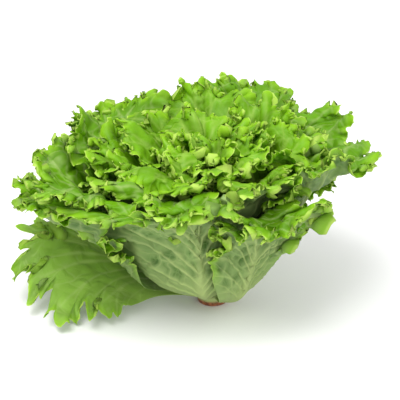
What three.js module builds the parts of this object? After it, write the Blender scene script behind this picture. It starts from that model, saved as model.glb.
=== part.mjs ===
// A loose-leaf head of green lettuce, cut at the root and standing on the cut face of its stem.
// Millimetres, +Z up. The origin is the centre of the cut face. -Y is the front, where the two
// outermost upright leaves overlap, and the head lies opener towards -X, its left side.
//
// Every leaf is a thin blade with a midrib on its outer face, and every blade follows one family of
// nested bowls: level 0 is the outermost bowl and level 1 the innermost. Two leaves on different
// levels can't meet, whatever their place round the stem, so the head can be packed tightly.
// Angles in the constants are in degrees. An azimuth is measured round the stem from +X towards +Y.
import * as THREE from "three";

// Stem: a cut foot, a collar where the oldest leaves grow, and a cone up into the heart.
const FOOT_RADIUS = 13;
const FOOT_BEVEL = 0.8;
const COLLAR_RADIUS = 15.5;
const COLLAR_HEIGHT = 9;
const STEM_TOP_RADIUS = 4;
const STEM_HEIGHT = 60;
const STEM_TIP = 3.5; // the rounded end above that
const STEM_SIDES = 32;

// Head
const LEAF_COUNT = 36;
const FIRST_AZIMUTH = -55; // of the outermost upright leaf
const GOLDEN_ANGLE = 137.508; // from each leaf to the next, clockwise seen from above
const OUTER_NUDGES = [-2, 6, 28, 6, 14, 14]; // how far the oldest leaves are pushed off that spiral
const OUTER_LENGTH = 177; // of a blade on level 0, along its midrib
const HEART_LENGTH = 94; // of a blade on level 1
const REACH_VARIATION = 0.06; // how far single leaves differ from that, as a share
const LEAF_SEAT_GAP = 0.3; // between a blade's foot and the stem
const HEART_DEPTH = 3; // how far below the stem's cone the innermost leaf grows

// Bowls. A blade's slope above the horizon at the stem, at the bend and at the rim.
const OUTER_SLOPES = { foot: 21, bend: 56, rim: 28 };
const HEART_SLOPES = { foot: 86, bend: 87, rim: 74 };
const BEND_AT = 0.28; // of the blade's length
const RIM_AT = 1.1; // where the last slope is reached, past the end of the blade
const SIDE_SPREAD = 9.5; // how much flatter than the mean the outer bowls lie to left and right
const LEFT_LEAN = 9.5; // how much flatter still they lie on the left, and steeper on the right
const RIM_SWAY = 7; // how far the outer rims lean in and out by turns
const FRONT_RISE = 20; // how much steeper the outer rims stand at the front
const BACK_RISE = 9; // and at the back
const STRETCH = 0.005; // how much longer a blade is, as a share, for each degree that it lies flatter
const BACK_STRETCH = 0.07; // how much longer the outer blades are at the back, as a share

// Blade
const BASE_HALF_ANGLE = 38; // how far a blade reaches round the stem each side of its midrib
const BLADE_HALF_ANGLE = 44; // the same where the blade is broad
const HALF_ANGLE_VARIATION = 7;
const BROAD_AT = 0.35; // where it becomes broad, as a share of its length
const BLADE_THICKNESS = 0.9;
const OUTER_RIB = 3.4; // how far the midrib stands out of the outer face at the foot
const HEART_RIB = 1.0;
const RIB_WIDTH = 0.17; // as a share of the blade's half width
const CORNER_DROP = 0.3; // how much shorter a blade is at its sides than at its midrib
const RIM_WAVE = 4.5; // height of the slow wave that runs round all the rims together
const RIM_WAVES = 7; // how many of them go round the head
const WAVE_FROM = 0.45; // where that wave begins, as a share of the blade's length

// The fallen leaf: the oldest one, which has dropped until its front edge nearly touches the ground.
const FALLEN_AZIMUTH = 168;
const FALLEN_HALF_ANGLE = 36;
const FALLEN_LENGTH = 152;
const FALLEN_HEIGHT = 5.6; // of its foot on the stem
const FALLEN_RIB = 2.4;
const FALLEN_SLOPES = { foot: 9, bend: 24, rim: 7 };
const FALLEN_TWIST = 0.55; // how much flatter it lies for each degree round towards the front

const LEAF_GREEN = 0x7fb23a;
const HEART_GREEN = 0xa8c64e;
const STEM_PALE = 0xc9c9a0;

const radians = THREE.MathUtils.degToRad;
const mix = THREE.MathUtils.lerp;
const ease = (x) => THREE.MathUtils.smoothstep(x, 0, 1);

// The stem's radius at a height, where the leaves grow.
function stemRadius(height) {
  const share = (height - COLLAR_HEIGHT) / (STEM_HEIGHT - COLLAR_HEIGHT);
  return mix(COLLAR_RADIUS, STEM_TOP_RADIUS, THREE.MathUtils.clamp(share, 0, 1));
}

// A blade's slope along its length, from its three slopes in degrees.
function slopeAlong({ foot, bend, rim }) {
  return (along) => {
    const toBend = ease(along / BEND_AT);
    const toRim = ease((along - BEND_AT) / (RIM_AT - BEND_AT));
    return radians(foot + (bend - foot) * toBend + (rim - bend) * toRim);
  };
}

// One line of a bowl, from the stem outwards in the plane at an azimuth. It returns a function from
// along, which is 0 at the stem and about 1 at the rim, to the place and slope there.
function meridian(stemDistance, footHeight, length, slopes) {
  const STEPS = 60;
  const REACH = 1.15;
  const step = REACH / STEPS;
  const slope = slopeAlong(slopes);
  const footAngle = radians(slopes.foot);
  const clearOfStem = LEAF_SEAT_GAP + (Math.sin(footAngle) * BLADE_THICKNESS) / 2;
  const points = [{ radius: stemDistance + clearOfStem, height: footHeight }];
  for (let i = 0; i < STEPS; i++) {
    const middle = slope((i + 0.5) * step);
    points.push({
      radius: points[i].radius + Math.cos(middle) * step * length,
      height: points[i].height + Math.sin(middle) * step * length,
    });
  }
  return (along) => {
    const place = Math.min(along / step, STEPS - 1e-6);
    const i = Math.floor(place);
    return {
      radius: mix(points[i].radius, points[i + 1].radius, place - i),
      height: mix(points[i].height, points[i + 1].height, place - i),
      slope: slope(along),
    };
  };
}

// The bowl of one level at one azimuth, in radians.
function bowl(level, azimuth) {
  const looseness = 1 - level;
  const sideways = Math.cos(2 * azimuth);
  const left = -Math.cos(azimuth);
  const back = Math.sin(azimuth);
  const flatter = looseness * (SIDE_SPREAD * sideways + LEFT_LEAN * left);
  const sway = looseness * RIM_SWAY * Math.sin(3 * azimuth + 5 * level + 2.6);
  const rise = looseness * (FRONT_RISE * Math.max(0, -back) ** 1.2 + BACK_RISE * Math.max(0, back));
  const closing = level ** 0.8;
  const slopes = {
    foot: mix(OUTER_SLOPES.foot, HEART_SLOPES.foot, closing) - 0.4 * flatter,
    bend: mix(OUTER_SLOPES.bend, HEART_SLOPES.bend, closing) - flatter,
    rim: mix(OUTER_SLOPES.rim, HEART_SLOPES.rim, level) + sway + rise,
  };
  const footHeight = mix(COLLAR_HEIGHT, STEM_HEIGHT - HEART_DEPTH, level);
  const longer = 1 + STRETCH * flatter + BACK_STRETCH * looseness * back;
  const length = mix(OUTER_LENGTH, HEART_LENGTH, level) * longer;
  return meridian(stemRadius(footHeight), footHeight, length, slopes);
}

// The fallen leaf's bowl: twisted, so that it lies flatter towards the front.
function fallenBowl(azimuth) {
  const twist = FALLEN_TWIST * (THREE.MathUtils.radToDeg(azimuth) - FALLEN_AZIMUTH);
  const slopes = {
    foot: FALLEN_SLOPES.foot,
    bend: FALLEN_SLOPES.bend - twist,
    rim: FALLEN_SLOPES.rim - twist,
  };
  return meridian(COLLAR_RADIUS, FALLEN_HEIGHT, FALLEN_LENGTH, slopes);
}

// A blade as one closed solid: a grid of columns by rows on its bowl, laid out once for its inner face
// and once for its outer face. across runs from -1 to 1 between the blade's sides.
function bladeGeometry({ bowlAt, azimuth, halfAngle, reach, rib, wave, columns, rows }) {
  const inner = [];
  const outer = [];
  for (let j = 0; j <= columns; j++) {
    const across = (2 * j) / columns - 1;
    for (let k = 0; k <= rows; k++) {
      const along = (k / rows) * reach * (1 - CORNER_DROP * across ** 4);
      const half = mix(BASE_HALF_ANGLE, halfAngle, ease(along / BROAD_AT));
      const angle = radians(azimuth + across * half);
      const { radius, height, slope } = bowlAt(angle)(along);
      const waveGrowth = ease((along - WAVE_FROM) / (1 - WAVE_FROM));
      const lift = wave * waveGrowth * Math.sin(RIM_WAVES * angle);
      const ribTaper = Math.max(0, 1 - along) ** 1.3;
      const ridge = rib * ribTaper * Math.exp(-((across / RIB_WIDTH) ** 2));
      const offsetPoint = (offset) => {
        const outwards = radius - Math.sin(slope) * offset;
        const upwards = height + Math.cos(slope) * offset;
        return [outwards * Math.cos(angle), outwards * Math.sin(angle), upwards];
      };
      inner.push(...offsetPoint(lift + BLADE_THICKNESS / 2));
      outer.push(...offsetPoint(lift - BLADE_THICKNESS / 2 - ridge));
    }
  }
  const perFace = (columns + 1) * (rows + 1);
  const corner = (j, k) => j * (rows + 1) + k;
  const index = [];
  const quad = (a, b, c, d) => index.push(a, b, c, a, c, d);
  for (let j = 0; j < columns; j++) {
    for (let k = 0; k < rows; k++) {
      const [a, b, c, d] = [corner(j, k), corner(j + 1, k), corner(j + 1, k + 1), corner(j, k + 1)];
      quad(a, d, c, b);
      quad(a + perFace, b + perFace, c + perFace, d + perFace);
    }
  }
  const edge = []; // the corners round the inner face, in order
  for (let j = 0; j < columns; j++) edge.push(corner(j, 0));
  for (let k = 0; k < rows; k++) edge.push(corner(columns, k));
  for (let j = columns; j > 0; j--) edge.push(corner(j, rows));
  for (let k = rows; k > 0; k--) edge.push(corner(0, k));
  edge.forEach((a, i) => {
    const b = edge[(i + 1) % edge.length];
    quad(a, b, b + perFace, a + perFace);
  });
  const geometry = new THREE.BufferGeometry();
  geometry.setAttribute("position", new THREE.Float32BufferAttribute([...inner, ...outer], 3));
  geometry.setIndex(index);
  geometry.computeVertexNormals();
  return geometry;
}

function leafMaterial(level) {
  const color = new THREE.Color(LEAF_GREEN).lerp(new THREE.Color(HEART_GREEN), level);
  return new THREE.MeshStandardMaterial({ color, roughness: 0.5, metalness: 0 });
}

// The stem, with its flat cut face underneath.
function stem() {
  const profile = [
    [0, 0],
    [FOOT_RADIUS - FOOT_BEVEL, 0],
    [FOOT_RADIUS, FOOT_BEVEL],
    [mix(FOOT_RADIUS, COLLAR_RADIUS, 0.4), COLLAR_HEIGHT * 0.45],
    [COLLAR_RADIUS, COLLAR_HEIGHT * 0.78],
    [COLLAR_RADIUS, COLLAR_HEIGHT],
    [STEM_TOP_RADIUS, STEM_HEIGHT],
    [STEM_TOP_RADIUS * 0.6, STEM_HEIGHT + STEM_TIP * 0.7],
    [0, STEM_HEIGHT + STEM_TIP],
  ].map(([radius, height]) => new THREE.Vector2(radius, height));
  const geometry = new THREE.LatheGeometry(profile, STEM_SIDES).rotateX(Math.PI / 2);
  const material = new THREE.MeshStandardMaterial({ color: STEM_PALE, roughness: 0.6, metalness: 0 });
  const mesh = new THREE.Mesh(geometry, material);
  mesh.name = "stem";
  return mesh;
}

function fallenLeaf() {
  const geometry = bladeGeometry({
    bowlAt: fallenBowl,
    azimuth: FALLEN_AZIMUTH,
    halfAngle: FALLEN_HALF_ANGLE,
    reach: 1,
    rib: FALLEN_RIB,
    wave: 0,
    columns: 10,
    rows: 8,
  });
  const mesh = new THREE.Mesh(geometry, leafMaterial(0));
  mesh.name = "fallen_leaf";
  return mesh;
}

// The upright leaves, from the oldest outside to the youngest in the heart, each a golden angle further
// round than the last. Their widths and lengths vary a little, as they do on any plant.
function uprightLeaf(i) {
  const level = i / (LEAF_COUNT - 1);
  const third = Math.floor((3 * i) / LEAF_COUNT);
  const [kind, columns, rows] = [
    ["outer", 10, 8],
    ["middle", 8, 6],
    ["heart", 6, 5],
  ][third];
  const geometry = bladeGeometry({
    bowlAt: (angle) => bowl(level, angle),
    azimuth: FIRST_AZIMUTH - GOLDEN_ANGLE * i + (OUTER_NUDGES[i] ?? 0),
    halfAngle: BLADE_HALF_ANGLE + HALF_ANGLE_VARIATION * Math.sin(1.3 * i - 1.5),
    reach: 1 + REACH_VARIATION * Math.sin(1.9 * i - 2.3),
    rib: mix(OUTER_RIB, HEART_RIB, Math.sqrt(level)),
    wave: RIM_WAVE,
    columns,
    rows,
  });
  const mesh = new THREE.Mesh(geometry, leafMaterial(level));
  mesh.name = `${kind}_leaf_${String(i + 1).padStart(2, "0")}`;
  return mesh;
}

const head = new THREE.Group();
head.add(stem(), fallenLeaf());
for (let i = 0; i < LEAF_COUNT; i++) head.add(uprightLeaf(i));

export default head;
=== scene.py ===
import bpy
import numpy as np
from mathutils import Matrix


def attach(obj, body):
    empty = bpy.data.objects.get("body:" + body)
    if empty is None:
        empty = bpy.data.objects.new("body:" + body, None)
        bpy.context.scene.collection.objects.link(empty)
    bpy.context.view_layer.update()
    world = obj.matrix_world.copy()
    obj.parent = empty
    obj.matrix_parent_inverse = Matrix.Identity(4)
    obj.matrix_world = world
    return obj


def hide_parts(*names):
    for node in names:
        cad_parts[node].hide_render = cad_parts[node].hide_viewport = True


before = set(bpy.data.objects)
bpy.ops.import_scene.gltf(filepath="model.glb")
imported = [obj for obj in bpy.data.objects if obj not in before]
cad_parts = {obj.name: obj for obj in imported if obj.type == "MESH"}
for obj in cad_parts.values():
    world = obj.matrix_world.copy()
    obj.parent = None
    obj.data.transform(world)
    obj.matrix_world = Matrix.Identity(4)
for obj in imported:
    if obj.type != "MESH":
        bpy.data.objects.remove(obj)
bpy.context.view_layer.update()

# ---------------------------------------------------------------- stem
# The stump that every leaf grows from. It is crisp white flesh inside a green rind, cut across with a
# knife at the foot, and the cut has gone brown in the air. It is turned from one outline, and the scars
# of lost leaves leave its side a little uneven.
MM = 0.001
FOOT_RADIUS = 13 * MM
FOOT_BEVEL = 0.8 * MM
COLLAR_RADIUS = 15.5 * MM
COLLAR_HEIGHT = 9 * MM
STEM_TOP_RADIUS = 4 * MM
STEM_HEIGHT = 60 * MM
TIP_SHOULDER = 2.4 * MM
TIP_HEIGHT = 3.4 * MM
SCAR_DEPTH = 0.35 * MM
SCARS_ROUND = 5
SCAR_TWIST = 900
STEM_SIDES = 96
CUT_RINGS = 12
FOOT_RINGS = 10
SIDE_RINGS = 24


def mix(start, end, share):
    return start + (end - start) * share


def ease(share):
    share = np.clip(share, 0, 1)
    return share * share * (3 - 2 * share)


def stem_radius(height):
    share = (height - COLLAR_HEIGHT) / (STEM_HEIGHT - COLLAR_HEIGHT)
    return mix(COLLAR_RADIUS, STEM_TOP_RADIUS, np.clip(share, 0, 1))


def solid(name, points, faces, attributes):
    """A smooth-shaded mesh object. Each attribute is one vector for each point."""
    mesh = bpy.data.meshes.new(name)
    mesh.from_pydata(points.tolist(), [], faces)
    for key, values in attributes.items():
        layer = mesh.attributes.new(key, "FLOAT_VECTOR", "POINT")
        layer.data.foreach_set("vector", np.asarray(values, np.float32).ravel())
    mesh.shade_smooth()
    mesh.update()
    piece = bpy.data.objects.new(name, mesh)
    bpy.context.scene.collection.objects.link(piece)
    return piece


def turn_stem():
    """The stem as one closed shell of rings, from the middle of the cut to the tip."""
    rows = []
    for share in np.linspace(0, 1, CUT_RINGS)[1:]:
        rows.append((share * (FOOT_RADIUS - FOOT_BEVEL), 0.0))
    rows.append((FOOT_RADIUS - 0.25 * FOOT_BEVEL, 0.3 * FOOT_BEVEL))
    rows.append((FOOT_RADIUS, FOOT_BEVEL))
    for share in np.linspace(0, 1, FOOT_RINGS)[1:]:
        rows.append((mix(FOOT_RADIUS, COLLAR_RADIUS, ease(share)), mix(FOOT_BEVEL, COLLAR_HEIGHT, share)))
    for share in np.linspace(0, 1, SIDE_RINGS)[1:]:
        height = mix(COLLAR_HEIGHT, STEM_HEIGHT, share)
        rows.append((stem_radius(height), height))
    rows.append((0.55 * STEM_TOP_RADIUS, STEM_HEIGHT + TIP_SHOULDER))
    points = [(0, 0, 0.0)]
    for radius, height in rows:
        for side in range(STEM_SIDES):
            turn = 2 * np.pi * side / STEM_SIDES
            scars = SCAR_DEPTH * np.sin(SCARS_ROUND * turn + SCAR_TWIST * height)
            scars = scars * ease(height / COLLAR_HEIGHT)
            points.append(((radius + scars) * np.cos(turn), (radius + scars) * np.sin(turn), height))
    points.append((0, 0, STEM_HEIGHT + TIP_HEIGHT))
    faces = []
    last = len(rows) - 1
    for side in range(STEM_SIDES):
        beside = (side + 1) % STEM_SIDES
        faces.append((0, 1 + beside, 1 + side))
        for row in range(last):
            low = 1 + row * STEM_SIDES
            high = low + STEM_SIDES
            faces.append((low + side, low + beside, high + beside, high + side))
        top = 1 + last * STEM_SIDES
        faces.append((top + side, top + beside, len(points) - 1))
    return solid("cut_stem", np.array(points), faces, {})


def new_material(name):
    """An opaque material with one Principled BSDF, and what it takes to add to it."""
    material = bpy.data.materials.new(name)
    material.use_nodes = True
    nodes = material.node_tree.nodes
    nodes.clear()
    output = nodes.new("ShaderNodeOutputMaterial")
    skin = nodes.new("ShaderNodeBsdfPrincipled")
    material.node_tree.links.new(skin.outputs["BSDF"], output.inputs["Surface"])
    return material, nodes, material.node_tree.links, skin


def stem_flesh():
    material, nodes, links, skin = new_material("cut_stem_flesh")
    place = nodes.new("ShaderNodeTexCoord")
    height = nodes.new("ShaderNodeSeparateXYZ")
    links.new(place.outputs["Object"], height.inputs["Vector"])
    blotches = nodes.new("ShaderNodeTexNoise")
    blotches.inputs["Scale"].default_value = 320
    blotches.inputs["Detail"].default_value = 5
    links.new(place.outputs["Object"], blotches.inputs["Vector"])
    browned = nodes.new("ShaderNodeValToRGB")
    browned.color_ramp.elements[0].color = (0.105, 0.022, 0.008, 1)
    browned.color_ramp.elements[1].color = (0.42, 0.15, 0.055, 1)
    browned.color_ramp.elements[0].position = 0.35
    browned.color_ramp.elements[1].position = 0.68
    links.new(blotches.outputs["Fac"], browned.inputs["Fac"])
    edge = nodes.new("ShaderNodeMapRange")
    edge.inputs["From Min"].default_value = 3.4 * MM
    edge.inputs["From Max"].default_value = 6.5 * MM
    links.new(height.outputs["Z"], edge.inputs["Value"])
    colour = nodes.new("ShaderNodeMix")
    colour.data_type = "RGBA"
    colour.inputs[7].default_value = (0.38, 0.48, 0.17, 1)
    links.new(edge.outputs["Result"], colour.inputs[0])
    links.new(browned.outputs["Color"], colour.inputs[6])
    links.new(colour.outputs[2], skin.inputs["Base Color"])
    relief = nodes.new("ShaderNodeBump")
    relief.inputs["Strength"].default_value = 0.6
    relief.inputs["Distance"].default_value = 0.4 * MM
    links.new(blotches.outputs["Fac"], relief.inputs["Height"])
    links.new(relief.outputs["Normal"], skin.inputs["Normal"])
    skin.inputs["Roughness"].default_value = 0.62
    return material


cut_stem = turn_stem()
cut_stem.data.materials.append(stem_flesh())
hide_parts("stem")
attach(cut_stem, "root")

# ---------------------------------------------------------------- upright leaves
# Thirty-six leaves in a spiral, the oldest outside. A leaf is a thin wet skin over green flesh, blistered
# between its raised veins, paler underneath and yellower at the rim. Its colours also hold painted light:
# the rim is painted brighter, its very edge carries a painted highlight, and the pockets underneath
# hold painted shade. Each one is grown from a sheet on the bowl of its own level, with its rim thrown
# into frills, because the rim grows longer than the blade.
LEAF_COUNT = 36
FIRST_AZIMUTH = -55
GOLDEN_ANGLE = 137.508
OUTER_NUDGES = [-2, 6, 28, 6, 14, 14]
OUTER_LENGTH = 177 * MM
HEART_LENGTH = 94 * MM
REACH_VARIATION = 0.06
LEAF_SEAT_GAP = 0.3 * MM
HEART_DEPTH = 3 * MM
CAD_THICKNESS = 0.9 * MM
OUTER_SLOPES = (21, 56, 28)
HEART_SLOPES = (86, 87, 74)
BEND_AT = 0.28
RIM_AT = 1.1
FLOP_FROM = 0.66
SIDE_SPREAD = 9.5
LEFT_LEAN = 9.5
RIM_SWAY = 7
FRONT_RISE = 20
BACK_RISE = 9
STRETCH = 0.005
BACK_STRETCH = 0.07
BASE_HALF_ANGLE = 25
BLADE_HALF_ANGLE = 44
HALF_ANGLE_VARIATION = 7
BROAD_AT = 0.5
CORNER_DROP = 0.2
RIM_WAVE = 4.5 * MM
RIM_WAVES = 7
WAVE_FROM = 0.45
VEIN_SPREAD_AT = 90 * MM


def blister_cells(nodes, links, fan, size):
    """Distance from the net of fine veins, 0 on a vein, for a geometry tree or a shader tree."""
    warp = nodes.new("ShaderNodeTexNoise")
    warp.inputs["Scale"].default_value = 60
    warp.inputs["Detail"].default_value = 1
    links.new(fan, warp.inputs["Vector"])
    shift = nodes.new("ShaderNodeVectorMath")
    shift.operation = "MULTIPLY_ADD"
    shift.inputs[1].default_value = (0.016, 0.022, 0)
    links.new(warp.outputs["Color"], shift.inputs[0])
    links.new(fan, shift.inputs[2])
    longer = nodes.new("ShaderNodeVectorMath")
    longer.operation = "MULTIPLY"
    longer.inputs[1].default_value = (1.0, 0.5, 1.0)
    links.new(shift.outputs[0], longer.inputs[0])
    scale = nodes.new("ShaderNodeMath")
    scale.operation = "DIVIDE"
    scale.inputs[0].default_value = 1.0
    links.new(size, scale.inputs[1])
    cells = nodes.new("ShaderNodeTexVoronoi")
    cells.feature = "DISTANCE_TO_EDGE"
    links.new(longer.outputs[0], cells.inputs["Vector"])
    links.new(scale.outputs[0], cells.inputs["Scale"])
    return cells.outputs["Distance"], longer.outputs[0], scale.outputs[0]


def smooth_step(nodes, links, value, low, high, start=0.0, end=1.0):
    node = nodes.new("ShaderNodeMapRange")
    node.interpolation_type = "SMOOTHSTEP"
    for key, number in (("From Min", low), ("From Max", high), ("To Min", start), ("To Max", end)):
        if isinstance(number, bpy.types.NodeSocket):
            links.new(number, node.inputs[key])
        else:
            node.inputs[key].default_value = number
    links.new(value, node.inputs["Value"])
    return node.outputs["Result"]


def maths(nodes, links, operation, first, second=None, third=None):
    node = nodes.new("ShaderNodeMath")
    node.operation = operation
    for socket, value in zip(node.inputs, (first, second, third)):
        if isinstance(value, bpy.types.NodeSocket):
            links.new(value, socket)
        elif value is not None:
            socket.default_value = value
    return node.outputs[0]


def separate(nodes, links, vector):
    node = nodes.new("ShaderNodeSeparateXYZ")
    links.new(vector, node.inputs[0])
    return node.outputs


def full_grown(nodes, links, to_rim, up_blade):
    """1 where the blade is blistered: away from the thin rim and above the smooth foot."""
    return maths(
        nodes,
        links,
        "MULTIPLY",
        smooth_step(nodes, links, to_rim, 3 * MM, 16 * MM),
        smooth_step(nodes, links, up_blade, 25 * MM, 70 * MM),
    )


def tissue_masks():
    """Node group: where a blade has its net of fine veins, its pockets, its main veins and its rim."""
    group = bpy.data.node_groups.new("lettuce_tissue", "ShaderNodeTree")
    sockets = group.interface
    sockets.new_socket("Cell Size", in_out="INPUT", socket_type="NodeSocketFloat")
    sockets.new_socket("Rim Width", in_out="INPUT", socket_type="NodeSocketFloat")
    for name in ("Net", "Pocket", "Vein", "Rim", "Edge Highlight", "Under", "Foot", "Mottle", "Burn"):
        sockets.new_socket(name, in_out="OUTPUT", socket_type="NodeSocketFloat")
    nodes, links = group.nodes, group.links
    inputs = nodes.new("NodeGroupInput")
    outputs = nodes.new("NodeGroupOutput")

    def attribute(name):
        node = nodes.new("ShaderNodeAttribute")
        node.attribute_type = "GEOMETRY"
        node.attribute_name = name
        return node.outputs["Vector"]

    def ramp(value, low, high, start=0.0, end=1.0):
        return smooth_step(nodes, links, value, low, high, start, end)

    def times(first, second):
        return maths(nodes, links, "MULTIPLY", first, second)

    blade = attribute("blade")
    vein, to_rim, under = separate(nodes, links, attribute("tissue"))
    up_blade = separate(nodes, links, blade)[1]
    coarse, warped, scale = blister_cells(nodes, links, attribute("fan"), inputs.outputs["Cell Size"])
    finer = nodes.new("ShaderNodeTexVoronoi")
    finer.feature = "DISTANCE_TO_EDGE"
    links.new(warped, finer.inputs["Vector"])
    links.new(times(scale, 2.6), finer.inputs["Scale"])
    fine = finer.outputs["Distance"]
    grown = full_grown(nodes, links, to_rim, up_blade)
    patches = nodes.new("ShaderNodeTexNoise")
    patches.inputs["Scale"].default_value = 75
    patches.inputs["Detail"].default_value = 2
    links.new(blade, patches.inputs["Vector"])
    uneven = ramp(patches.outputs["Fac"], 0.38, 0.62, 0.1, 1.0)
    links.new(times(ramp(coarse, 0.01, 0.09, 1, 0), uneven), outputs.inputs["Net"])
    # the pockets between the fine veins; the colour laid through this mask underneath is partly their greener
    # tissue and partly painted shade in the hollows
    pocket_tone_and_shade = times(ramp(coarse, 0.06, 0.34), ramp(fine, 0.0, 0.16, 0.45, 1.0))
    pocket_tone_and_shade = times(pocket_tone_and_shade, uneven)
    links.new(times(pocket_tone_and_shade, grown), outputs.inputs["Pocket"])
    links.new(vein, outputs.inputs["Vein"])
    frilled = ramp(up_blade, 52 * MM, 92 * MM)
    # the rim band: the colour laid through it is partly a yellower tint of the margin and partly painted
    # light, the glow of light through the thin rim
    rim = ramp(to_rim, 0.0, inputs.outputs["Rim Width"], 1, 0)
    links.new(times(rim, frilled), outputs.inputs["Rim"])
    # a thin line right at the rim, where a painted highlight is laid
    edge = ramp(to_rim, 0.3 * MM, 1.3 * MM, 1, 0)
    links.new(times(edge, frilled), outputs.inputs["Edge Highlight"])
    links.new(under, outputs.inputs["Under"])
    links.new(ramp(up_blade, 5 * MM, 80 * MM, 1, 0), outputs.inputs["Foot"])
    mottle = nodes.new("ShaderNodeTexNoise")
    mottle.inputs["Scale"].default_value = 38
    mottle.inputs["Detail"].default_value = 4
    links.new(blade, mottle.inputs["Vector"])
    links.new(ramp(mottle.outputs["Fac"], 0.3, 0.7), outputs.inputs["Mottle"])
    burn = nodes.new("ShaderNodeTexNoise")
    burn.inputs["Scale"].default_value = 90
    burn.inputs["Detail"].default_value = 2
    links.new(blade, burn.inputs["Vector"])
    burnt = times(ramp(burn.outputs["Fac"], 0.74, 0.80), ramp(to_rim, 1 * MM, 5 * MM, 1, 0))
    links.new(burnt, outputs.inputs["Burn"])
    return group


lettuce_tissue = tissue_masks()
# the edge colour is a painted highlight: the thin bright line where light catches the knife edge of the rim
EDGE_HIGHLIGHT_COLOUR = (0.60, 0.78, 0.16)
BURN_COLOUR = (0.30, 0.16, 0.05)
GLOW_THROUGH = 0.38


def leaf_skin(name, upper, under, pocket_tone_and_shade, rim, pale, cell_size, rim_width):
    """One material for a group of leaves, from its five colours and the sizes of its net and rim."""
    material, nodes, links, skin = new_material(name)
    masks = nodes.new("ShaderNodeGroup")
    masks.node_tree = lettuce_tissue
    masks.inputs["Cell Size"].default_value = cell_size
    masks.inputs["Rim Width"].default_value = rim_width
    masks = masks.outputs

    def blend(share, first, second, strength=1.0):
        node = nodes.new("ShaderNodeMix")
        node.data_type = "RGBA"
        if strength != 1.0:
            share = maths(nodes, links, "MULTIPLY", share, strength)
        links.new(share, node.inputs[0])
        for socket, colour in ((node.inputs[6], first), (node.inputs[7], second)):
            if isinstance(colour, bpy.types.NodeSocket):
                links.new(colour, socket)
            else:
                socket.default_value = (*colour, 1)
        return node.outputs[2]

    dark_upper = tuple(0.66 * part for part in upper)
    top = blend(masks["Mottle"], dark_upper, upper)
    top = blend(masks["Net"], top, pale, 0.3)
    top = blend(masks["Vein"], top, pale, 0.75)
    dark_under = tuple(0.8 * part for part in under)
    bottom = blend(masks["Mottle"], under, dark_under)
    # pocket colour: partly the greener tissue between the veins, partly painted shade in those hollows
    bottom = blend(masks["Pocket"], bottom, pocket_tone_and_shade, 0.95)
    bottom = blend(masks["Net"], bottom, pale, 0.3)
    bottom = blend(masks["Vein"], bottom, pale, 0.85)
    face = blend(masks["Under"], top, bottom)
    face = blend(masks["Foot"], face, pale, 0.7)
    # rim colour: partly a yellower tint of the margin, partly painted light shining through the thin rim
    face = blend(masks["Rim"], face, rim, 0.8)
    # painted highlight along the very edge of the rim
    face = blend(masks["Edge Highlight"], face, EDGE_HIGHLIGHT_COLOUR, 0.75)
    face = blend(masks["Burn"], face, BURN_COLOUR, 0.8)
    links.new(face, skin.inputs["Base Color"])
    skin.inputs["Roughness"].default_value = 0.45
    skin.inputs["Specular IOR Level"].default_value = 0.24
    relief = nodes.new("ShaderNodeBump")
    relief.inputs["Strength"].default_value = 0.6
    relief.inputs["Distance"].default_value = 0.6 * MM
    links.new(masks["Pocket"], relief.inputs["Height"])
    links.new(relief.outputs["Normal"], skin.inputs["Normal"])
    glow = nodes.new("ShaderNodeBsdfTranslucent")
    links.new(face, glow.inputs["Color"])
    both = nodes.new("ShaderNodeMixShader")
    both.inputs["Fac"].default_value = GLOW_THROUGH
    links.new(skin.outputs["BSDF"], both.inputs[1])
    links.new(glow.outputs["BSDF"], both.inputs[2])
    links.new(both.outputs["Shader"], nodes["Material Output"].inputs["Surface"])
    return material


def meridian(stem_distance, foot_height, length, slopes, along, flop=0):
    """Radius, height and slope of a bowl at along, from its slopes at the foot, the bend and the rim.

    A rim that flops turns outwards by flop degrees more, over the last part of the blade.
    """
    foot, bend, rim = slopes

    def slope(at):
        to_bend = ease(at / BEND_AT)
        to_rim = ease((at - BEND_AT) / (RIM_AT - BEND_AT))
        flopped = flop * ease((at - FLOP_FROM) / (RIM_AT - FLOP_FROM))
        return np.radians(foot + (bend - foot) * to_bend + (rim - bend) * to_rim - flopped)

    steps = 40
    radius = stem_distance + LEAF_SEAT_GAP + np.sin(np.radians(foot)) * CAD_THICKNESS / 2
    height = foot_height
    for i in range(steps):
        middle = slope((i + 0.5) / steps * along)
        radius = radius + np.cos(middle) * along / steps * length
        height = height + np.sin(middle) * along / steps * length
    return radius, height, slope(along)


def upright_bowl(level, azimuth, along, flop):
    looseness = 1 - level
    flatter = looseness * (SIDE_SPREAD * np.cos(2 * azimuth) - LEFT_LEAN * np.cos(azimuth))
    sway = looseness * RIM_SWAY * np.sin(3 * azimuth + 5 * level + 2.6)
    front, back = np.maximum(0, -np.sin(azimuth)), np.maximum(0, np.sin(azimuth))
    rise = looseness * (FRONT_RISE * front**1.2 + BACK_RISE * back)
    closing = level**0.8
    slopes = (
        mix(OUTER_SLOPES[0], HEART_SLOPES[0], closing) - 0.4 * flatter,
        mix(OUTER_SLOPES[1], HEART_SLOPES[1], closing) - flatter,
        mix(OUTER_SLOPES[2], HEART_SLOPES[2], level) + sway + rise,
    )
    foot_height = mix(COLLAR_HEIGHT, STEM_HEIGHT - HEART_DEPTH, level)
    longer = 1 + STRETCH * flatter + BACK_STRETCH * looseness * np.sin(azimuth)
    length = mix(OUTER_LENGTH, HEART_LENGTH, level) * longer
    return meridian(stem_radius(foot_height), foot_height, length, slopes, along, flop)


def wander(x, seed):
    """A smooth random line about 0, mostly within -1 and 1, that turns about once for each 4 of x."""
    random = np.random.default_rng(seed)
    total = np.zeros_like(x)
    for _ in range(6):
        total += np.sin(x * random.uniform(0.5, 2.0) + random.uniform(0, 2 * np.pi))
    return total / 3.2


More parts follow.
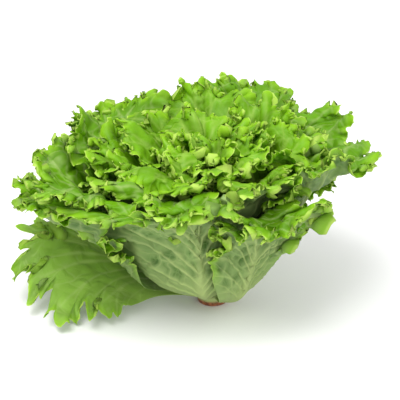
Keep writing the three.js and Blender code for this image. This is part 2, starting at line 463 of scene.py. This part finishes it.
def notches(x, spacing, seed):
    """1 in the middle of a lobe and 0 in the bay between two lobes, which is narrow."""
    random = np.random.default_rng(seed)
    count = int((x.max() - x.min()) / spacing) + 3
    bays = x.min() + spacing * (np.arange(count) - 1 + random.uniform(-0.3, 0.3, count))
    nearest = np.min(np.abs(x[..., None] - bays), axis=-1)
    return 1 - np.exp(-((nearest / (0.2 * spacing)) ** 2))


def four_corners(grid):
    """The quads between the points of a grid."""
    return np.stack([grid[:-1, 1:], grid[1:, 1:], grid[1:, :-1], grid[:-1, :-1]], -1)


def teeth(x):
    """Pointed teeth that lean one way, one for each 1 of x, from 0 to 1."""
    share = x - np.floor(x)
    return np.minimum(share / 0.62, (1 - share) / 0.38) ** 1.2


SPINE_TOP = 0.66
FAN_BEND = (0.36, 0.74)
FINE_FROM = 0.74
FREE_FROM = 0.36
FREE_OVER = 0.24
SAG_AZIMUTH = -128
SAG_OVER = 0.55
VEIN_WIDTHS = (2.4 * MM, 0.55 * MM)
RIB_WIDTHS = (5.2 * MM, 1.0 * MM)
RIB_HEIGHT = 2.6 * MM
BLADE_THICKNESS = 0.5 * MM
FOOT_THICKENING = 0.6 * MM
KNIFE_EDGE = 1.2 * MM
FAN_CENTRE = 20 * MM


def leaf_sheet(name, bowl_at, azimuth, half_angle, reach, length, seed, columns, rows, rim_rows,
               lobe_depth, lobe_spacing, tooth_depth, foot_sag=0, veins=9):
    """The flat of one blade as a single open sheet on its bowl, with what its growth needs as attributes.

    Its grid fans out from the midrib to the rim, as its veins do: 2 * columns lines from the left foot
    round the tip to the right foot, each rows steps long. Only the last rim_rows steps use every line.
    """
    random = np.random.default_rng(seed)
    table = np.linspace(0, 1.3, 260)
    middle_radius = bowl_at(np.full_like(table, azimuth), table)[0]

    def half_width(along):
        half = mix(np.radians(BASE_HALF_ANGLE), half_angle, ease(along / BROAD_AT))
        return half * np.interp(along, table, middle_radius)

    # the outline of the right half, laid flat, from the tip to the foot
    top = np.linspace(0, 1, 120)
    side = np.linspace(1, 0, 120)[1:]
    outline_along = np.concatenate([reach * (1 - CORNER_DROP * top**4), reach * (1 - CORNER_DROP) * side])
    outline_x = np.concatenate([top, np.ones_like(side)]) * half_width(outline_along)
    outline_y = outline_along * length
    run = np.concatenate([[0], np.cumsum(np.hypot(np.diff(outline_x), np.diff(outline_y)))])
    line = np.arange(-columns, columns + 1)
    share = np.abs(line) / columns
    margin_x = np.sign(line) * np.interp(share * run[-1], run, outline_x)
    margin_x = margin_x * (1 + 0.07 * wander(share * 9 + np.sign(line), seed + 9) * ease(share / 0.4))
    margin_y = np.interp(share * run[-1], run, outline_y)
    spine_y = SPINE_TOP * reach * length * (1 - share) ** 1.2

    # each line of the fan, curving up from the midrib, with its steps closer together at the rim
    inner_part = np.linspace(0, FINE_FROM, rows - rim_rows + 1)
    outer_part = FINE_FROM + (1 - FINE_FROM) * (1 - (1 - np.linspace(0, 1, rim_rows + 1)[1:]) ** 1.5)
    v = np.concatenate([inner_part, outer_part])[None, :]
    bend_x = FAN_BEND[0] * margin_x
    bend_y = mix(spine_y, margin_y, FAN_BEND[1])
    x = 2 * v * (1 - v) * bend_x[:, None] + v**2 * margin_x[:, None]
    y = (1 - v) ** 2 * spine_y[:, None] + 2 * v * (1 - v) * bend_y[:, None] + v**2 * margin_y[:, None]
    line_length = np.hypot(margin_x, margin_y - spine_y)[:, None]
    s = (line / columns * run[-1])[:, None]
    free = ease((margin_y[:, None] - FREE_FROM * length) / (FREE_OVER * length))

    # lobes and teeth, along the last direction of each line
    toward_x = (margin_x - bend_x)[:, None]
    toward_y = (margin_y - bend_y)[:, None]
    toward = np.hypot(toward_x, toward_y) + 1e-9
    uneven = 0.5 * wander(s / (0.8 * lobe_spacing), seed + 5)
    lobe = lobe_depth * (notches(s, lobe_spacing, seed + 1) - 0.7 + uneven)
    finger = 0.7 * lobe_depth * (notches(s, 0.42 * lobe_spacing, seed + 6) - 0.7)
    tooth_run = s / (1.35 * tooth_depth) + 0.6 * wander(s / (9 * MM), seed + 2)
    tooth = tooth_depth * (teeth(tooth_run) - 0.5) * (0.9 + 0.4 * wander(s / (11 * MM), seed + 3))
    extend = lobe * ease((v - 0.3) / 0.7) + finger * ease((v - 0.5) / 0.5) ** 2
    extend = extend + tooth * ease((v - FINE_FROM) / (1 - FINE_FROM)) ** 2
    extend = extend * free
    x = x + toward_x / toward * extend
    y = y + toward_y / toward * extend
    to_rim = (1 - v) * line_length

    # on the bowl
    along = y / length
    angle = azimuth + x / np.interp(along, table, middle_radius)
    radius, height, slope = bowl_at(angle, along)
    points = np.stack([radius * np.cos(angle), radius * np.sin(angle), height], -1)
    inward = np.stack([-np.sin(slope) * np.cos(angle), -np.sin(slope) * np.sin(angle), np.cos(slope)], -1)
    growth = ease((along - WAVE_FROM) / (1 - WAVE_FROM))
    lift = RIM_WAVE * growth * np.sin(RIM_WAVES * angle)
    facing = np.maximum(0, np.cos(angle - np.radians(SAG_AZIMUTH)))
    lift = lift - foot_sag * facing * np.sin(np.pi * np.clip(along / SAG_OVER, 0, 1)) ** 2
    points = points + inward * lift[..., None]
    sideways = np.gradient(points, axis=0)
    sideways /= np.linalg.norm(sideways, axis=-1, keepdims=True) + 1e-9

    # veins run along the lines of the fan and fork on the way to the rim
    line_gap = np.hypot(np.gradient(x, axis=0), np.gradient(y, axis=0)) * columns
    signed_share = (line / columns)[:, None]
    vein = np.zeros_like(x)
    for side_sign in (-1, 1):
        for i in range(veins):
            home = (i + 0.55 + random.uniform(-0.22, 0.22)) / veins
            fork = random.uniform(0.25, 0.42) / veins * ease((v - 0.45) / 0.55)
            width = mix(*VEIN_WIDTHS, v)
            for branch in (-1, 1):
                off = np.abs(signed_share - side_sign * (home + branch * fork)) * line_gap
                vein = np.maximum(vein, np.exp(-((off / width) ** 2)) * (1 - 0.65 * v))
    rib_width = mix(*RIB_WIDTHS, np.clip(along, 0, 1)) * min(1, length / OUTER_LENGTH + 0.2)
    midrib = np.exp(-((x / rib_width) ** 2)) * np.clip(1.12 - along, 0, 1)
    vein = np.maximum(vein * ease((along - 0.02) / 0.1), midrib)
    rib = RIB_HEIGHT * midrib * np.clip(1 - along, 0, 1)
    body = BLADE_THICKNESS + FOOT_THICKENING * np.clip(1 - along / 0.3, 0, 1)
    knife = ease(np.minimum(to_rim, y) / KNIFE_EDGE)
    fan_angle = np.arctan2(x, y + FAN_CENTRE)
    fan_reach = np.hypot(x, y + FAN_CENTRE)
    own_pattern = seed * 0.37

    # the grid, with its left and right halves joined along the midrib
    index = np.arange(x.size).reshape(x.shape)
    index[:columns, 0] = index[2 * columns : columns : -1, 0]
    inner = rows - rim_rows
    rough = index[::2, : inner + 1]
    quads = [four_corners(rough).reshape(-1, 4)]
    fine = four_corners(index[:, inner + 1 :])
    # the quads at the two corners of the foot are split, so that no half of one lies all on the rim
    left, right = fine[0, -1], fine[-1, -1]
    threes = np.array([left[[0, 1, 2]], left[[0, 2, 3]], right[[0, 1, 3]], right[[1, 2, 3]]])
    quads.append(np.delete(fine.reshape(-1, 4), [rim_rows - 2, -1], axis=0))
    low, high = index[:, inner], index[:, inner + 1]
    fives = np.stack([high[:-1:2], high[1::2], high[2::2], low[2::2], low[:-1:2]], -1)
    faces = np.concatenate(quads).tolist() + fives.tolist() + threes.tolist()
    used = np.unique(np.concatenate([np.concatenate(quads).ravel(), fives.ravel(), threes.ravel()]))
    renumber = np.full(x.size, -1)
    renumber[used] = np.arange(len(used))
    faces = [[int(renumber[corner]) for corner in face] for face in faces]

    def column(*parts):
        return np.stack([part + 0 * x for part in parts], -1).reshape(-1, 3)[used]

    return solid(
        name,
        points.reshape(-1, 3)[used],
        faces,
        {
            "blade": column(x, y, own_pattern),
            "fan": column(fan_angle * VEIN_SPREAD_AT, fan_reach, own_pattern),
            "tissue": column(vein, to_rim, 0),
            "growth": column(s, free, knife),
            "relief": column(rib, body, 0),
            "sideways": sideways.reshape(-1, 3)[used],
        },
    )


ON_THE_RIM = 1e-6


def growth_tree():
    """Geometry Nodes tree that grows a flat sheet into a leaf: curl, folds, frills, blisters and skins."""
    tree = bpy.data.node_groups.new("leaf_growth", "GeometryNodeTree")
    sockets = tree.interface
    sockets.new_socket("Geometry", in_out="INPUT", socket_type="NodeSocketGeometry")
    for name in ("Seed", "Rumple Height", "Curl Height", "Curl Reach"):
        sockets.new_socket(name, in_out="INPUT", socket_type="NodeSocketFloat")
    for name in ("Blister Size", "Blister Height", "Vein Height"):
        sockets.new_socket(name, in_out="INPUT", socket_type="NodeSocketFloat")
    for wave in ("Fold", "Frill", "Crimp"):
        for size in ("Length", "Height", "Reach"):
            sockets.new_socket(f"{wave} {size}", in_out="INPUT", socket_type="NodeSocketFloat")
    sockets.new_socket("Skin", in_out="INPUT", socket_type="NodeSocketMaterial")
    sockets.new_socket("Geometry", in_out="OUTPUT", socket_type="NodeSocketGeometry")
    nodes, links = tree.nodes, tree.links
    sizes = nodes.new("NodeGroupInput").outputs
    normal = nodes.new("GeometryNodeInputNormal").outputs["Normal"]

    def attribute(name):
        node = nodes.new("GeometryNodeInputNamedAttribute")
        node.data_type = "FLOAT_VECTOR"
        node.inputs["Name"].default_value = name
        return node.outputs["Attribute"]

    def number(operation, first, second=None, third=None):
        return maths(nodes, links, operation, first, second, third)

    def product(first, second):
        return number("MULTIPLY", first, second)

    def scaled(vector, amount):
        node = nodes.new("ShaderNodeVectorMath")
        node.operation = "SCALE"
        links.new(vector, node.inputs[0])
        links.new(amount, node.inputs["Scale"])
        return node.outputs[0]

    def added(first, second):
        node = nodes.new("ShaderNodeVectorMath")
        links.new(first, node.inputs[0])
        links.new(second, node.inputs[1])
        return node.outputs[0]

    def moved(geometry, offset):
        node = nodes.new("GeometryNodeSetPosition")
        links.new(geometry, node.inputs["Geometry"])
        links.new(offset, node.inputs["Offset"])
        return node.outputs["Geometry"]

    def drift(run, seed):
        """A random line between about -1 and 1 along the rim, a new one for each seed."""
        noise = nodes.new("ShaderNodeTexNoise")
        noise.noise_dimensions = "1D"
        noise.inputs["Detail"].default_value = 1
        noise.inputs["Scale"].default_value = 1
        start = number("ADD", product(sizes["Seed"], 17.3), seed)
        links.new(number("ADD", run, start), noise.inputs["W"])
        return number("MULTIPLY_ADD", noise.outputs["Fac"], 4.0, -2.0)

    # what leaf_sheet measured at each point of the sheet
    s, free, knife = separate(nodes, links, attribute("growth"))
    vein, to_rim, _ = separate(nodes, links, attribute("tissue"))
    rib, body, _ = separate(nodes, links, attribute("relief"))
    up_blade = separate(nodes, links, attribute("blade"))[1]
    geometry = sizes["Geometry"]

    def nearness(reach):
        near = number("MAXIMUM", number("SUBTRACT", 1.0, number("DIVIDE", to_rim, reach)), 0.0)
        return product(number("POWER", near, 1.8), free)

    # the whole blade rumples, then its rim curls under
    rumple = nodes.new("ShaderNodeTexNoise")
    rumple.inputs["Scale"].default_value = 42
    rumple.inputs["Detail"].default_value = 1
    links.new(attribute("blade"), rumple.inputs["Vector"])
    sag = product(number("MULTIPLY_ADD", rumple.outputs["Fac"], 4.0, -2.0), sizes["Rumple Height"])
    sag = product(sag, smooth_step(nodes, links, up_blade, 30 * MM, 90 * MM))
    geometry = moved(geometry, scaled(normal, sag))

    near = nearness(sizes["Curl Reach"])
    roll = product(near, sizes["Curl Height"])
    roll = product(roll, number("MULTIPLY_ADD", drift(number("DIVIDE", s, 70 * MM), 3.1), -0.5, -1.0))
    geometry = moved(geometry, scaled(normal, roll))

    # three waves along the rim, each shorter and closer to it than the one before
    for stage, wave in enumerate(("Fold", "Frill", "Crimp")):
        span = sizes[f"{wave} Length"]
        turns = number("DIVIDE", s, span)
        wave_seed = 10.7 * stage
        phase = number("MULTIPLY_ADD", drift(product(turns, 0.45), wave_seed), 0.3, turns)
        phase = product(phase, 2 * np.pi)
        swell = number("MULTIPLY_ADD", drift(product(turns, 0.6), wave_seed + 5), 0.35, 0.95)
        swell = product(product(swell, nearness(sizes[f"{wave} Reach"])), sizes[f"{wave} Height"])
        out = product(swell, number("SUBTRACT", number("SINE", phase), 0.15))
        along_rim = product(product(swell, -0.2), number("SINE", product(phase, 2.0)))
        geometry = moved(geometry, added(scaled(normal, out), scaled(attribute("sideways"), along_rim)))

    # blisters between the veins
    cells = blister_cells(nodes, links, attribute("fan"), sizes["Blister Size"])[0]
    swollen = smooth_step(nodes, links, cells, 0.0, 0.34)
    grown = full_grown(nodes, links, to_rim, up_blade)
    bulge = product(product(swollen, grown), sizes["Blister Height"])
    geometry = moved(geometry, scaled(normal, bulge))

    # an upper and a lower skin, which meet in a sharp edge all round
    kept = nodes.new("GeometryNodeCaptureAttribute")
    kept.capture_items.new("VECTOR", "Skin Normal")
    links.new(geometry, kept.inputs["Geometry"])
    links.new(normal, kept.inputs[1])
    half = product(product(body, knife), 0.5)
    upper_face = moved(kept.outputs["Geometry"], scaled(kept.outputs[1], half))
    ridge = product(number("MULTIPLY_ADD", vein, sizes["Vein Height"], rib), knife)
    below = product(number("ADD", half, ridge), -1.0)
    lower_face = moved(kept.outputs["Geometry"], scaled(kept.outputs[1], below))
    turned = nodes.new("GeometryNodeFlipFaces")
    links.new(lower_face, turned.inputs["Mesh"])
    marked = nodes.new("GeometryNodeStoreNamedAttribute")
    marked.data_type = "FLOAT_VECTOR"
    marked.domain = "POINT"
    marked.inputs["Name"].default_value = "tissue"
    under_side = nodes.new("ShaderNodeCombineXYZ")
    links.new(vein, under_side.inputs[0])
    links.new(to_rim, under_side.inputs[1])
    under_side.inputs[2].default_value = 1.0
    links.new(turned.outputs["Mesh"], marked.inputs["Geometry"])
    links.new(under_side.outputs[0], marked.inputs["Value"])
    joined = nodes.new("GeometryNodeJoinGeometry")
    links.new(marked.outputs["Geometry"], joined.inputs[0])
    links.new(upper_face, joined.inputs[0])
    closed = nodes.new("GeometryNodeMergeByDistance")
    links.new(joined.outputs[0], closed.inputs["Geometry"])
    links.new(number("LESS_THAN", knife, ON_THE_RIM), closed.inputs["Selection"])
    closed.inputs["Distance"].default_value = 1e-6
    smooth = nodes.new("GeometryNodeSetShadeSmooth")
    links.new(closed.outputs["Geometry"], smooth.inputs["Geometry"])
    crease = nodes.new("GeometryNodeSetShadeSmooth")
    crease.domain = "EDGE"
    crease.inputs["Shade Smooth"].default_value = False
    links.new(smooth.outputs["Geometry"], crease.inputs["Geometry"])
    links.new(number("LESS_THAN", knife, ON_THE_RIM), crease.inputs["Selection"])
    real = nodes.new("GeometryNodeRealizeInstances")
    links.new(crease.outputs["Geometry"], real.inputs["Geometry"])
    skinned = nodes.new("GeometryNodeSetMaterial")
    links.new(real.outputs["Geometry"], skinned.inputs["Geometry"])
    links.new(sizes["Skin"], skinned.inputs["Material"])
    links.new(skinned.outputs["Geometry"], nodes.new("NodeGroupOutput").inputs["Geometry"])
    return tree


leaf_growth = growth_tree()


def grow(sheet, sizes):
    """Runs the growth tree on a sheet with its named sizes and keeps the result as a plain mesh."""
    growth = sheet.modifiers.new("growth", "NODES")
    growth.node_group = leaf_growth
    for socket in leaf_growth.interface.items_tree:
        if socket.name in sizes:
            growth[socket.identifier] = sizes[socket.name]
    depsgraph = bpy.context.evaluated_depsgraph_get()
    grown = bpy.data.meshes.new_from_object(
        sheet.evaluated_get(depsgraph), preserve_all_data_layers=True, depsgraph=depsgraph
    )
    flat = sheet.data
    sheet.modifiers.clear()
    sheet.data = grown
    grown.name = sheet.name
    bpy.data.meshes.remove(flat)
    return sheet


# Each pocket colour is much darker than its underside: partly the greener tissue of the pockets, partly
# painted shade in those hollows.
skins = {
    # Each rim colour is brighter than its upper face: partly a yellower tint of the margin, partly painted
    # light shining through the thin rim.
    "outer": leaf_skin(
        "outer_leaf_skin",
        upper=(0.18, 0.45, 0.006),
        under=(0.28, 0.43, 0.13),
        pocket_tone_and_shade=(0.085, 0.20, 0.035),
        rim=(0.31, 0.60, 0.015),
        pale=(0.53, 0.65, 0.24),
        cell_size=9 * MM,
        rim_width=14 * MM,
    ),
    "middle": leaf_skin(
        "middle_leaf_skin",
        upper=(0.21, 0.50, 0.006),
        under=(0.19, 0.44, 0.015),
        pocket_tone_and_shade=(0.12, 0.33, 0.006),
        rim=(0.34, 0.65, 0.015),
        pale=(0.44, 0.65, 0.12),
        cell_size=8 * MM,
        rim_width=12 * MM,
    ),
    "heart": leaf_skin(
        "heart_leaf_skin",
        upper=(0.24, 0.56, 0.008),
        under=(0.24, 0.52, 0.02),
        pocket_tone_and_shade=(0.18, 0.42, 0.01),
        rim=(0.38, 0.69, 0.02),
        pale=(0.50, 0.70, 0.14),
        cell_size=7 * MM,
        rim_width=9 * MM,
    ),
}
# How far each rim falls outwards, in degrees, with 0 for the outermost leaf. Leaves that aren't named
# here follow the rule in the loop, and a swing round the rim lets some of its lobes stand up.
FLOPS = {0: 8, 1: -14, 2: -8, 3: 46, 4: -14, 5: 20, 6: 30, 7: 22, 8: 50, 9: -14, 11: 85, 12: 14, 14: 6, 17: 0}
FLOP_SWING = 30
SWING_PHASES = {5: 0.3}
# Degrees added to a leaf's half width, and the share of its length added to its reach.
WIDER = {0: -4, 3: 13, 5: 10}
LONGER = {1: -0.05}
# Lines of the fan on each side of the midrib, steps along a line, and how many of those are at the rim.
GRIDS = {"outer": (320, 50, 14), "middle": (260, 30, 12), "heart": (180, 24, 10)}
for i in range(LEAF_COUNT):
    level = i / (LEAF_COUNT - 1)
    kind = ("outer", "middle", "heart")[3 * i // LEAF_COUNT]
    node = f"{kind}_leaf_{i + 1:02d}"
    nudge = OUTER_NUDGES[i] if i < len(OUTER_NUDGES) else 0
    small = mix(1.0, 0.6, level)
    columns, rows, rim_rows = GRIDS[kind]
    azimuth = np.radians(FIRST_AZIMUTH - GOLDEN_ANGLE * i + nudge)
    front = max(0, -np.sin(azimuth))
    flop = FLOPS.get(i, mix(14, 26, level) + 28 * (1 - front) * np.sin(2.3 * i + 1) + 45 * front)
    phase = SWING_PHASES.get(i, 1.9 * i)
    half_angle = BLADE_HALF_ANGLE + HALF_ANGLE_VARIATION * np.sin(1.3 * i - 1.5) + WIDER.get(i, 0)

    def own_bowl(angle, along):
        return upright_bowl(level, angle, along, flop + FLOP_SWING * np.sin(4 * angle + phase))

    sheet = leaf_sheet(
        f"frilled_{node}",
        own_bowl,
        azimuth=azimuth,
        half_angle=np.radians(half_angle),
        reach=1 + REACH_VARIATION * np.sin(1.9 * i - 2.3) + LONGER.get(i, 0),
        length=mix(OUTER_LENGTH, HEART_LENGTH, level),
        seed=100 * i + 7,
        columns=columns,
        rows=rows,
        rim_rows=rim_rows,
        lobe_depth=10 * MM * small,
        lobe_spacing=25 * MM * small,
        tooth_depth=3.0 * MM * mix(1.0, 0.75, level),
        foot_sag=12 * MM * (1 - level),
    )
    leaf = grow(
        sheet,
        {
            "Seed": i + 1.0,
            "Rumple Height": mix(2.5, 4.0, level) * MM,
            "Curl Height": 3 * MM,
            "Curl Reach": 22 * MM,
            "Fold Length": 44 * MM * small,
            "Fold Height": 7.5 * MM * small,
            "Fold Reach": 55 * MM * small,
            "Frill Length": 13 * MM * small,
            "Frill Height": 4.0 * MM * small,
            "Frill Reach": 20 * MM * small,
            "Crimp Length": 5.5 * MM * small,
            "Crimp Height": 1.1 * MM * small,
            "Crimp Reach": 6 * MM * small,
            "Blister Size": mix(9, 7, level) * MM,
            "Blister Height": mix(2.6, 1.4, level) * MM,
            "Vein Height": 1.2 * MM,
            "Skin": skins[kind],
        },
    )
    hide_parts(node)
    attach(leaf, "root")

# ---------------------------------------------------------------- fallen leaf
# The oldest leaf has dropped away on the left and lies open, with its upper face showing. Its rim is
# cut into fingers and is hardly frilled.
FALLEN_AZIMUTH = 168
FALLEN_HALF_ANGLE = 36
FALLEN_LENGTH = 152 * MM
FALLEN_HEIGHT = 5.6 * MM
FALLEN_SLOPES = (9, 24, 7)
FALLEN_TWIST = 0.55


def fallen_bowl(angle, along):
    twist = FALLEN_TWIST * (np.degrees(angle) - FALLEN_AZIMUTH)
    slopes = (FALLEN_SLOPES[0], FALLEN_SLOPES[1] - twist, FALLEN_SLOPES[2] - twist)
    return meridian(COLLAR_RADIUS, FALLEN_HEIGHT, FALLEN_LENGTH, slopes, along)


# The fallen leaf's upper face is painted lighter than the other leaves to make up for the shade the head
# casts on it: painted light. Its pocket colour is partly painted shade, as on the others.
skins["fallen"] = leaf_skin(
    "fallen_leaf_skin_with_painted_light",
    upper=(0.33, 0.58, 0.08),
    under=(0.29, 0.46, 0.10),
    pocket_tone_and_shade=(0.09, 0.23, 0.02),
    rim=(0.33, 0.60, 0.03),
    pale=(0.50, 0.66, 0.20),
    cell_size=9 * MM,
    rim_width=10 * MM,
)
fallen_sheet = leaf_sheet(
    "open_fallen_leaf",
    fallen_bowl,
    azimuth=np.radians(FALLEN_AZIMUTH),
    half_angle=np.radians(FALLEN_HALF_ANGLE),
    reach=0.98,
    length=FALLEN_LENGTH,
    seed=4242,
    columns=320,
    rows=50,
    rim_rows=18,
    lobe_depth=22 * MM,
    lobe_spacing=31 * MM,
    tooth_depth=4.8 * MM,
)
fallen_leaf = grow(
    fallen_sheet,
    {
        "Seed": 77.0,
        "Rumple Height": 1.5 * MM,
        "Curl Height": 0.0,
        "Curl Reach": 30 * MM,
        "Fold Length": 40 * MM,
        "Fold Height": 5 * MM,
        "Fold Reach": 40 * MM,
        "Frill Length": 19 * MM,
        "Frill Height": 3.6 * MM,
        "Frill Reach": 24 * MM,
        "Crimp Length": 8 * MM,
        "Crimp Height": 0.9 * MM,
        "Crimp Reach": 9 * MM,
        "Blister Size": 9 * MM,
        "Blister Height": 0.8 * MM,
        "Vein Height": 0.6 * MM,
        "Skin": skins["fallen"],
    },
)
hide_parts("fallen_leaf")
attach(fallen_leaf, "root")

# ---------------------------------------------------------------- studio
# A pale floor and soft light from all round, brightest from above and a little to the left.
bpy.ops.mesh.primitive_plane_add(size=6)
floor = bpy.context.object
floor.name = "studio_floor"
floor_paint, _, _, floor_skin = new_material("studio_floor_paint")
floor_skin.inputs["Base Color"].default_value = (0.88, 0.88, 0.88, 1)
floor_skin.inputs["Roughness"].default_value = 0.8
floor.data.materials.append(floor_paint)

world = bpy.data.worlds.new("studio_air")
bpy.context.scene.world = world
world.use_nodes = True
world.node_tree.nodes["Background"].inputs["Color"].default_value = (1, 1, 1, 1)
world.node_tree.nodes["Background"].inputs["Strength"].default_value = 0.95


def softbox(name, place, width, power):
    lamp = bpy.data.lights.new(name, "AREA")
    lamp.size = width
    lamp.energy = power
    lamp_object = bpy.data.objects.new(name, lamp)
    lamp_object.location = place
    toward = -lamp_object.location
    lamp_object.rotation_euler = toward.to_track_quat("-Z", "Y").to_euler()
    bpy.context.scene.collection.objects.link(lamp_object)


softbox("top_light", (-0.3, -0.4, 1.3), 0.9, 17)
softbox("front_light", (0.5, -1.3, 0.7), 0.9, 6)

camera_data = bpy.data.cameras.new("product_camera")
camera = bpy.data.objects.new("product_camera", camera_data)
bpy.context.scene.collection.objects.link(camera)
bpy.context.scene.camera = camera
AIM_X = -0.011
AIM_HEIGHT = 0.095
CAMERA_DISTANCE = 1.2
CAMERA_TILT = np.radians(25)
camera_data.lens = 128.6
camera.location = (
    AIM_X,
    -CAMERA_DISTANCE * np.cos(CAMERA_TILT),
    AIM_HEIGHT + CAMERA_DISTANCE * np.sin(CAMERA_TILT),
)
camera.rotation_euler = (np.pi / 2 - CAMERA_TILT, 0, 0)

bpy.context.scene.view_settings.view_transform = "Standard"
